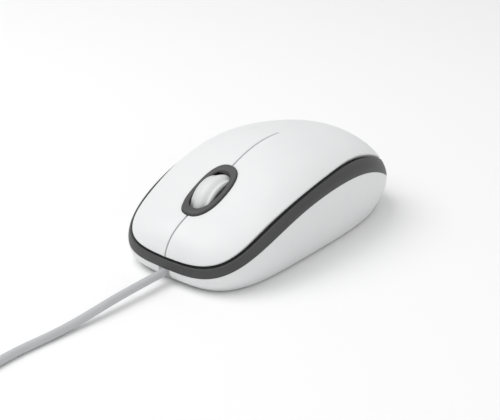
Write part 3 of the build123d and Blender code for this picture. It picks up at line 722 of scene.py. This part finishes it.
HUB_RADIUS = 9.7 * MM
TREAD_HALF = [(0.0, 12.0), (0.8, 11.93), (1.5, 11.68), (2.1, 11.27), (2.6, 10.86), (3.0, 10.68), (3.3, 10.72),
              (3.55, 10.9), (3.8, 10.96), (4.05, 10.86), (4.2, 10.6), (4.25, 10.2)]
silicone = surface_finish("pale_silicone_rubber", ("D6D7D7", "DDDDDE"), 0.4, 0.25 * MM, 0.006 * MM)
stations = np.linspace(0, len(TREAD_HALF) - 1, 45)
across = np.interp(stations, range(len(TREAD_HALF)), [x * MM for x, _ in TREAD_HALF])
radii = np.interp(stations, range(len(TREAD_HALF)), [r * MM for _, r in TREAD_HALF])
for _ in range(4):
    across[1:-1] = (across[:-2] + 2 * across[1:-1] + across[2:]) / 4
    radii[1:-1] = (radii[:-2] + 2 * radii[1:-1] + radii[2:]) / 4
tread = [(across[-1], HUB_RADIUS)] + list(zip(across[::-1], radii[::-1]))
tread += [(-x, r) for x, r in tread[-2::-1]]
tyre = turned("wheel_tyre_ring", tread, (0, WHEEL_Y, WHEEL_Z), "X", [silicone], 128)
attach(tyre, "wheel")
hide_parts("wheel_tyre")


# ---- Feet ----
# Two slick low-friction pads stuck in shallow recesses, one under the nose and one under the tail.
foot_plastic = surface_finish("slick_grey_foot", ("8E9092", "989A9C"), 0.3, 0.5 * MM, 0.004 * MM, 0.5)
for name, y in zip(("front_foot", "rear_foot"), FOOT_YS):
    outline = rounded_outline(25.6 * MM, 4.8 * MM, 2.2 * MM, 10)
    pad = upright_prism(name + "_pad", outline, (0, y), 0, 1.15 * MM, [foot_plastic], 0.3 * MM)
    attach(pad, "root")
    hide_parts(name)


# ---- Base label ----
# Blank silvery paper label with a die-cut outline, stuck in its own shallow recess.
label_paper = surface_finish("silver_label_paper", ("BFC0C2", "C9CACC"), 0.36, 0.2 * MM, 0.006 * MM)
label = upright_prism(
    "blank_label", rounded_outline(31.4 * MM, 13.4 * MM, 1.0 * MM), (0, LABEL_Y), 0.84 * MM, 0.95 * MM,
    [label_paper], 0.04 * MM,
)
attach(label, "root")
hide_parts("base_label")


# ---- Case screw ----
# Zinc-plated steel screw with a shallow pan head and a cross recess, deep in its well.
zinc = surface_finish("zinc_plated_steel", ("A9A9A6", "B7B7B3"), 0.3, 0.15 * MM, 0.004 * MM, 0.5, 1.0)
pan_head = [(3.4 * MM, 0.0), (3.4 * MM, 2.8 * MM), (2.1 * MM, 2.8 * MM)]
for turn in np.linspace(0, math.pi / 2, 9)[1:]:
    pan_head.append((2.1 * MM - 0.7 * MM * math.sin(turn), 2.8 * MM * math.cos(turn) ** 0.6))
screw = turned("case_screw_head", pan_head, (0, SCREW_Y, 0), "Z", [zinc], 48)
cross = [upright_prism("cross_slot", rounded_outline(*size, 0.15 * MM, 3), (0, SCREW_Y), MM, 2.3 * MM)
         for size in ((3.2 * MM, 0.7 * MM), (0.7 * MM, 3.2 * MM))]
cut(screw, cross)
finish_mesh(screw, [zinc])
shank = turned("case_screw_shank", [
    (3.3 * MM, 0.0), (3.3 * MM, 1.3 * MM), (16.0 * MM, 1.3 * MM), (17.0 * MM, 0.5 * MM), (17.0 * MM, 0.0),
], (0, SCREW_Y, 0), "Z", [zinc], 24)
for piece in (screw, shank):
    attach(piece, "root")
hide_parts("case_screw")


# ---- Sensor lens ----
# Clear acrylic optic clipped over the window: a flat plate, a snout with a round well, and a lens bead in it.
def clear_plastic(name, colour, roughness):
    """Clear moulding resin with faint flow lines."""
    material = surface_finish(name, (colour, colour), roughness, 4.0 * MM, 0.01 * MM, 0.5)
    shader = material.node_tree.nodes["Principled BSDF"]
    shader.inputs["Transmission Weight"].default_value = 0.9
    shader.inputs["IOR"].default_value = 1.49
    return material


acrylic = clear_plastic("clear_acrylic", "E8EEF0", 0.08)
LENS_Y = SENSOR_Y - 1.5 * MM
snout_outline = rounded_outline(10 * MM, 14 * MM, 1.6 * MM)
snout = upright_prism(
    "lens_snout", snout_outline, (0, SENSOR_Y), 1.3 * MM, 2.5 * MM, [acrylic], 0.25 * MM,
)
well_outline = rounded_outline(5 * MM, 5 * MM, 2.49 * MM, 10)
slot_outline = rounded_outline(3 * MM, 3 * MM, 0.8 * MM)
cut(snout, [
    upright_prism("lens_well", well_outline, (0, LENS_Y), MM, 1.9 * MM),
    upright_prism("light_slot", slot_outline, (0, SENSOR_Y + 4 * MM), MM, 2.0 * MM),
])
finish_mesh(snout, [acrylic])
plate_outline = rounded_outline(16 * MM, 19 * MM, 1.2 * MM)
plate = upright_prism(
    "lens_plate", plate_outline, (0, SENSOR_Y), 2.4 * MM, 3.6 * MM, [acrylic], 0.2 * MM,
)
BEAD_BASE = 2.0 * MM
bead_profile = [(BEAD_BASE, 0.0)]
for turn in np.linspace(0, math.pi / 2, 9):
    bead_profile.append((BEAD_BASE - 0.5 * MM * math.sin(turn), 1.6 * MM * math.cos(turn)))
bead = turned("lens_bead", bead_profile, (0, LENS_Y, 0), "Z", [acrylic], 40)
for piece in (snout, plate, bead):
    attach(piece, "root")
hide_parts("sensor_lens")


# ---- Cable tie ----
# Soft black strap that holds the coil together, passed round its section on the side away from the mouse.
strap_rubber = surface_finish("black_strap_rubber", ("1D1D1E", "232324"), 0.6, 0.3 * MM, 0.012 * MM, 0.3)
STRAP_WIDTH = 5.0 * MM
STRAP_THICKNESS = 0.7 * MM
strap_loop = rounded_outline(13.3 * MM, 12.7 * MM, 2.6 * MM, 8)
strap_centre = (COIL_CENTRE[1] - COIL_MEAN_RADIUS, 6.85 * MM)
sections = []
for index, (along_y, up) in enumerate(strap_loop):
    before, after = strap_loop[index - 1], strap_loop[(index + 1) % len(strap_loop)]
    direction = Vector((after[1] - before[1], before[0] - after[0])).normalized()
    section = []
    for across, out in rounded_outline(STRAP_WIDTH, STRAP_THICKNESS, 0.25 * MM, 3):
        section.append((
            COIL_CENTRE[0] + across,
            strap_centre[0] + along_y + out * direction[0],
            strap_centre[1] + up + out * direction[1],
        ))
    sections.append(section)
strap = mesh_piece("coil_strap", *closed_sweep(sections), [strap_rubber])
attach(strap, "root")
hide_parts("cable_tie")


# ---- Plug ----
# Overmoulded grip with finger grooves and a ribbed, tapered strain relief, on a folded steel shell with
# latch holes.
PLUG_X = -57.0 * MM
PLUG_Z = 4.2 * MM
RELIEF_START, GRIP_START, SHELL_START, SHELL_END = -166.5 * MM, -156.5 * MM, -129.5 * MM, -117.5 * MM
overmould = surface_finish("grey_overmould", ("A6A7A9", "B0B1B3"), 0.48)


def capped_sweep(sections):
    """Vertices and faces of a form through a row of closed sections, closed at both ends."""
    vertices, faces = closed_sweep(sections)
    size = len(sections[0])
    faces = faces[:-size]
    faces.append(tuple(range(size)))
    faces.append(tuple(range(len(vertices) - size, len(vertices)))[::-1])
    return vertices, faces


relief_profile = [(RELIEF_START, 1.5 * MM)]
for step in np.linspace(0, 1, 61):
    radius = 2.0 * MM + 0.9 * MM * step
    groove = 0.35 * MM * max(0.0, math.sin(2 * math.pi * 5 * step - math.pi / 2)) if step < 0.95 else 0.0
    relief_profile.append((RELIEF_START + (GRIP_START - RELIEF_START + 0.3 * MM) * step, radius - groove))
relief_profile.append((GRIP_START + 0.3 * MM, 0.0))
relief_profile.append((RELIEF_START, 0.0))
relief = turned("ribbed_relief", relief_profile, (PLUG_X, 0, PLUG_Z), "Y", [overmould], 48)

GRIP_END_ROUND = 1.2 * MM
GRIP_CURVE = 4.0
sections = []
grip_stops = [(GRIP_START + GRIP_END_ROUND * (1 - math.cos(t)), GRIP_END_ROUND * (1 - math.sin(t)))
              for t in np.linspace(0, math.pi / 2, 7)]
for y in np.linspace(GRIP_START + 2 * MM, SHELL_START - 2 * MM, 60):
    groove = 0.35 * MM * max(0.0, math.sin(2 * math.pi * (y - GRIP_START) / (2.6 * MM)))
    grip_stops.append((y, groove if GRIP_START + 7.8 * MM < y < GRIP_START + 18.2 * MM else 0.0))
grip_stops += [(SHELL_START - GRIP_END_ROUND * (1 - math.cos(t)), GRIP_END_ROUND * (1 - math.sin(t)))
               for t in np.linspace(math.pi / 2, 0, 7)]
for y, inset in grip_stops:
    section = []
    for angle in np.linspace(0, 2 * math.pi, 72, endpoint=False):
        across = math.copysign(abs(math.cos(angle)) ** (2 / GRIP_CURVE), math.cos(angle))
        up = math.copysign(abs(math.sin(angle)) ** (2 / GRIP_CURVE), math.sin(angle))
        section.append((PLUG_X + (7.8 * MM - inset) * across, y, PLUG_Z + (4.2 * MM - inset) * up))
    sections.append(section)
grip = mesh_piece("plug_grip_body", *capped_sweep(sections), [overmould], 50)

nickel = surface_finish("nickel_plated_steel", ("B9B9B8", "C6C6C5"), 0.24, 0.2 * MM, 0.003 * MM, 0.5, 1.0)
outer_edge = rounded_outline(12.0 * MM, 4.5 * MM, 0.7 * MM)
inner_edge = rounded_outline(11.4 * MM, 3.9 * MM, 0.4 * MM)
sections = []
for (outer_x, outer_z), (inner_x, inner_z) in zip(outer_edge, inner_edge):
    sections.append([(PLUG_X + x, y, PLUG_Z + z) for x, z, y in (
        (outer_x, outer_z, SHELL_START - 0.5 * MM), (outer_x, outer_z, SHELL_END - 0.15 * MM),
        ((outer_x + inner_x) / 2, (outer_z + inner_z) / 2, SHELL_END),
        (inner_x, inner_z, SHELL_END - 0.15 * MM), (inner_x, inner_z, SHELL_START - 0.5 * MM),
    )])
shell = mesh_piece("plug_shell_tube", *closed_sweep(sections), [nickel], 30)
latch_outline = rounded_outline(2.4 * MM, 2.2 * MM, 0.2 * MM, 3)
latch_holes = []
for side in (-1, 1):
    place = (PLUG_X + side * 2.7 * MM, SHELL_END - 5 * MM)
    latch_holes.append(upright_prism("latch_hole", latch_outline, place, MM, 8 * MM))
cut(shell, latch_holes)
finish_mesh(shell, [nickel], 30)
for piece, node_name, slot_name in (
    (relief, "plug_relief", "plug_overmould"),
    (grip, "plug_grip", "plug_overmould"),
    (shell, "plug_shell", "shell_steel"),
):
    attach(piece, "root")
    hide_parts(node_name)


# ---- Inside the case, and the plug's contacts ----
# The board with its switches, chips, sensor and light, the wheel's cradle and encoder, and the leads from
# the cable. Their forms are the CAD's own, with a moulded, plated or printed finish for each.
def laminate(name):
    """Green glass-epoxy board: solder resist over faint copper tracks."""
    material = surface_finish(name, ("1F5A38", "24633F"), 0.36, 0.4 * MM, 0.01 * MM, 0.5)
    tree = material.node_tree
    shader = tree.nodes["Principled BSDF"]
    plain = shader.inputs["Base Color"].links[0].from_socket
    place = node(tree, "ShaderNodeTexCoord").outputs["Object"]
    tracks = node(tree, "ShaderNodeTexBrick", {
        "Scale": 220.0, "Mortar Size": 0.06,
        "Color1": (0, 0, 0, 1), "Color2": (0, 0, 0, 1), "Mortar": (1, 1, 1, 1),
    }, {"Vector": place})
    mixed = node(tree, "ShaderNodeMix", {"data_type": "RGBA"}, {"Factor": tracks.outputs["Color"]})
    mixed.inputs[7].default_value = linear("3B8355")
    tree.links.new(plain, mixed.inputs[6])
    tree.links.new(mixed.outputs[2], shader.inputs["Base Color"])
    return material


black_nylon = surface_finish("black_nylon", ("18181A", "1E1E20"), 0.5)
white_nylon = surface_finish("white_nylon", ("DAD9D4", "E0DFDA"), 0.45)
aluminium = surface_finish("drawn_aluminium", ("B4B6B8", "C0C2C4"), 0.28, 0.15 * MM, 0.004 * MM, 0.5, 1.0)
gold = surface_finish("gold_plated_contacts", ("D9B25A", "E0BC68"), 0.22, 0.1 * MM, 0.002 * MM, 0.5, 1.0)
lead_pvc = surface_finish("white_lead_insulation", ("D5D5D2", "DEDEDB"), 0.4, 0.1 * MM, 0.003 * MM)
CAD_FINISHES = {
    black_nylon: [
        "encoder_housing", "left_switch", "right_switch", "wheel_switch", "board_chips", "sensor_chip",
        "led_clip", "plug_tongue",
    ],
    white_nylon: [
        "wheel_hub", "wheel_cradle", "cradle_mount", "encoder_rotor", "left_plunger", "right_plunger",
        "wheel_plunger", "board_socket", "board_plug",
    ],
    laminate("printed_circuit_laminate"): ["circuit_board"],
    aluminium: ["capacitors"],
    zinc: ["board_screws"],
    gold: ["plug_contacts"],
    lead_pvc: ["inner_leads"],
    jacket: ["cable_lead_in"],
    overmould: ["cable_grommet"],
    dark_abs: ["bezel_legs"],
    clear_plastic("red_tinted_resin", "E86A5C", 0.12): ["sensor_led"],
}
for finish, names in CAD_FINISHES.items():
    for name in names:
        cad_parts[name].data.materials.clear()
        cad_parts[name].data.materials.append(finish)


# ---- Stage ----
# A pale seamless floor and two large soft lights in a bright room.
floor_mesh = bpy.data.meshes.new("studio_floor")
floor_mesh.from_pydata([(-3, -3, 0), (3, -3, 0), (3, 3, 0), (-3, 3, 0)], [], [(0, 1, 2, 3)])
floor = bpy.data.objects.new("studio_floor", floor_mesh)
bpy.context.collection.objects.link(floor)
paper = bpy.data.materials.new("white_studio_paper")
paper.use_nodes = True
paper.node_tree.nodes["Principled BSDF"].inputs["Base Color"].default_value = linear("F6F6F6")
paper.node_tree.nodes["Principled BSDF"].inputs["Roughness"].default_value = 0.9
floor_mesh.materials.append(paper)

world = bpy.data.worlds.new("studio")
world.use_nodes = True
world.node_tree.nodes["Background"].inputs["Color"].default_value = (1, 1, 1, 1)
world.node_tree.nodes["Background"].inputs["Strength"].default_value = 0.62
bpy.context.scene.world = world


def softbox(name, place, size, power):
    light = bpy.data.lights.new(name, "AREA")
    light.size = size
    light.energy = power
    lamp = bpy.data.objects.new(name, light)
    lamp.location = place
    lamp.rotation_euler = Vector(place).to_track_quat("Z", "Y").to_euler()
    bpy.context.collection.objects.link(lamp)


softbox("overhead_softbox", (-0.35, -0.30, 0.85), 0.8, 5.5)
softbox("side_softbox", (0.8, -0.1, 0.4), 0.5, 0.6)
bpy.context.scene.view_settings.view_transform = "Standard"
